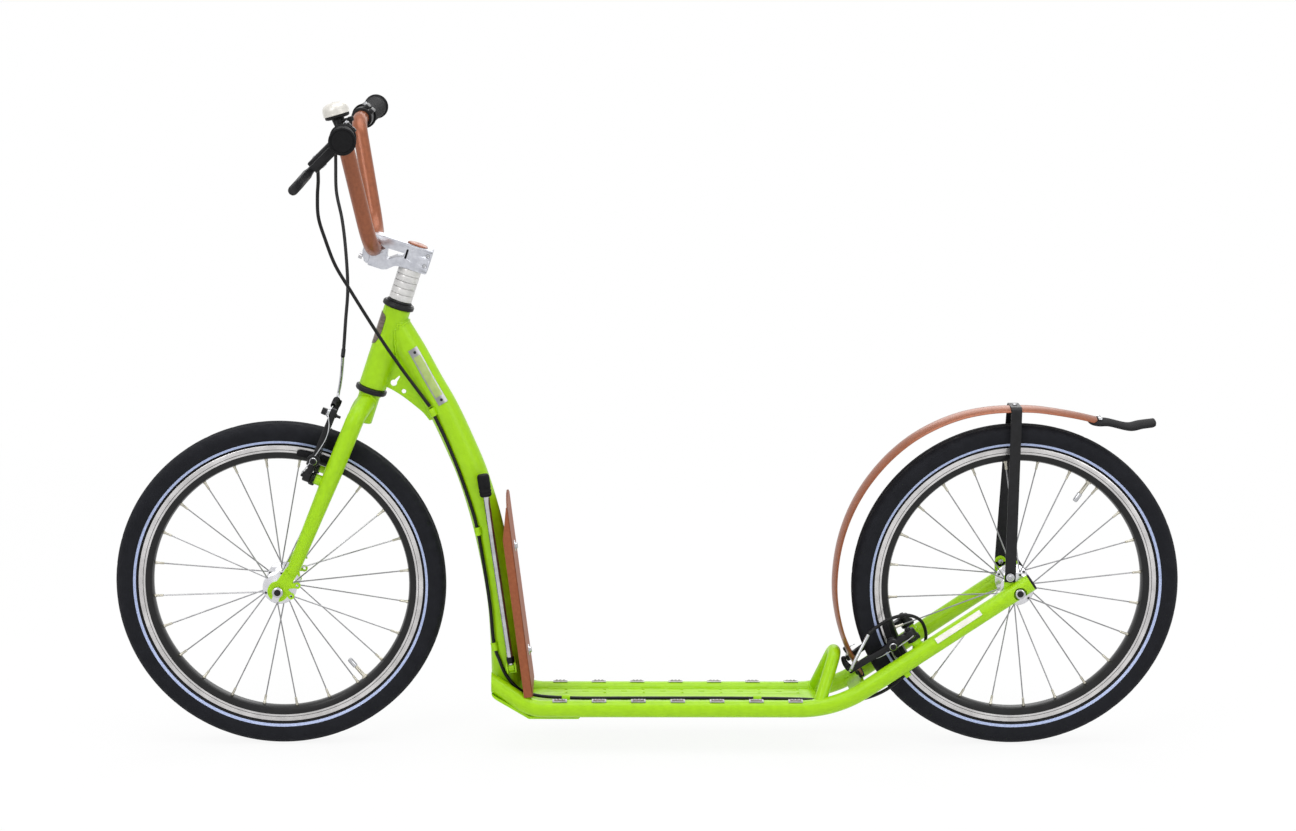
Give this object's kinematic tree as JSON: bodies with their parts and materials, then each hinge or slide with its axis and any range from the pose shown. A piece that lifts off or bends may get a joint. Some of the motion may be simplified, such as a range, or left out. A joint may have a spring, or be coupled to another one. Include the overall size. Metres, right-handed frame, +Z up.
{
  "type": "kick bike",
  "caption": "Tall two-wheeled kick scooter: low footboard between large spoked wheels, high-rise handlebar, cable rim brakes, fender, splash guard, bell and folded side stand.",
  "frame": {"origin": "on the ground under the middle of the wheelbase, on the plane of symmetry of frame and wheels", "axes": "+Z up, +X from the front wheel to the rear wheel, +Y to the rider's right"},
  "size_m": [1.5728, 0.604, 0.9635],
  "materials": {
    "lime_paint": "gloss powder coat",
    "copper_paint": "metallic gloss",
    "silver_alloy": "bead blasted and clear coated",
    "steel": "bright",
    "black_metal": "satin",
    "black_plastic": "satin",
    "tyre_rubber": "matt with fine tread",
    "soft_rubber": "matt"
  },
  "bodies": {
    "frame": {"head_tube": "lime_paint", "lower_cup": "black_metal", "upper_cup": "black_metal", "skid_plate": "lime_paint", "main_tube": "lime_paint", "right_side_tube": "lime_paint", "left_side_tube": "lime_paint", "right_end_plug": "black_plastic", "left_end_plug": "black_plastic", "head_gusset": "lime_paint", "deck_plate": "lime_paint", "rear_hoop": "lime_paint", "stay_bridge": "lime_paint", "splash_guard": "copper_paint", "rear_fender": "copper_paint", "fender_strap": "black_metal", "fender_flap": "soft_rubber", "stand_bracket": "lime_paint", "rear_axle": "steel", "rear_cable_run": "black_plastic"},
    "steering": {"fork": "lime_paint", "upper_race": "black_metal", "spacer_stack": "silver_alloy", "stem": "silver_alloy", "stem_faceplate": "silver_alloy", "top_cap": "copper_paint", "handlebar": "copper_paint", "right_grip": "soft_rubber", "left_grip": "soft_rubber", "right_lever_perch": "black_metal", "left_lever_perch": "black_metal", "bell_base": "black_plastic", "bell_dome": "silver_alloy", "front_axle": "steel", "rear_cable_loop": "black_plastic", "front_cable": "black_plastic"},
    "front_wheel": {"front_tyre": "tyre_rubber", "front_rim": "silver_alloy", "front_hub_and_spokes": "steel", "front_valve": "steel"},
    "rear_wheel": {"rear_tyre": "tyre_rubber", "rear_rim": "silver_alloy", "rear_hub_and_spokes": "steel", "rear_valve": "steel"},
    "right_lever": {"right_lever": "black_metal"},
    "left_lever": {"left_lever": "black_metal"},
    "bell_thumb_lever": {"bell_thumb_lever": "black_plastic"},
    "side_stand": {"stand_rod": "steel", "stand_foot": "soft_rubber"},
    "front_brake_right": {"front_brake_arm_right": "black_metal", "front_brake_pad_right": "soft_rubber"},
    "front_brake_left": {"front_brake_arm_left": "black_metal", "front_brake_pad_left": "soft_rubber"},
    "rear_brake_right": {"rear_brake_arm_right": "black_metal", "rear_brake_pad_right": "soft_rubber"},
    "rear_brake_left": {"rear_brake_arm_left": "black_metal", "rear_brake_pad_left": "soft_rubber"}
  },
  "joints": [
    {"name": "steering_turn", "type": "hinge", "parent": "frame", "child": "steering", "pos_m": [-0.40803, 0, 0.53419], "axis": [0.3122, 0, 0.95], "range_deg": [-60, 60], "deforming": ["rear_cable_loop"]},
    {"name": "front_wheel_spin", "type": "hinge", "parent": "steering", "child": "front_wheel", "pos_m": [-0.5434, 0, 0.243], "axis": [0, 1, 0], "continuous": true},
    {"name": "rear_wheel_spin", "type": "hinge", "parent": "frame", "child": "rear_wheel", "pos_m": [0.5434, 0, 0.243], "axis": [0, 1, 0], "continuous": true},
    {"name": "right_lever_pull", "type": "hinge", "parent": "steering", "child": "right_lever", "pos_m": [-0.4618, 0.17167, 0.88432], "axis": [-0.707, 0.0251, 0.7068], "range_deg": [0, 18], "stiffness_Nm_per_rad": 1.2, "springref_deg": -8.59},
    {"name": "left_lever_pull", "type": "hinge", "parent": "steering", "child": "left_lever", "pos_m": [-0.4618, -0.17167, 0.88432], "axis": [0.707, 0.0251, -0.7068], "range_deg": [0, 18], "stiffness_Nm_per_rad": 1.2, "springref_deg": -8.59},
    {"name": "bell_thumb_push", "type": "hinge", "parent": "steering", "child": "bell_thumb_lever", "pos_m": [-0.43674, -0.14702, 0.93556], "axis": [-0.2773, 0.02, 0.9606], "range_deg": [0, 24], "stiffness_Nm_per_rad": 0.03, "springref_deg": -5.73},
    {"name": "side_stand_swing", "type": "hinge", "parent": "frame", "child": "side_stand", "pos_m": [-0.2032, -0.031, 0.122], "axis": [0.99, 0, 0.1409], "range_deg": [0, 110]},
    {"name": "front_brake_right_swing", "type": "hinge", "parent": "steering", "child": "front_brake_right", "pos_m": [-0.46842, 0.041, 0.401], "axis": [0.9239, 0, -0.3827], "range_deg": [0, 2.1]},
    {"name": "front_brake_left_swing", "type": "hinge", "parent": "steering", "child": "front_brake_left", "pos_m": [-0.46842, -0.041, 0.401], "axis": [-0.9239, 0, 0.3827], "range_deg": [0, 2.1]},
    {"name": "rear_brake_right_swing", "type": "hinge", "parent": "frame", "child": "rear_brake_right", "pos_m": [0.40299, 0.041, 0.15159], "axis": [-0.565, 0, 0.8251], "range_deg": [0, 2.1]},
    {"name": "rear_brake_left_swing", "type": "hinge", "parent": "frame", "child": "rear_brake_left", "pos_m": [0.40299, -0.041, 0.15159], "axis": [0.565, 0, -0.8251], "range_deg": [0, 2.1]}
  ],
  "couplings": [
    {"joint": "front_brake_right_swing", "follows": "right_lever_pull", "ratio": 0.1164},
    {"joint": "front_brake_left_swing", "follows": "right_lever_pull", "ratio": 0.1164},
    {"joint": "rear_brake_right_swing", "follows": "left_lever_pull", "ratio": 0.1164},
    {"joint": "rear_brake_left_swing", "follows": "left_lever_pull", "ratio": 0.1164}
  ]
}
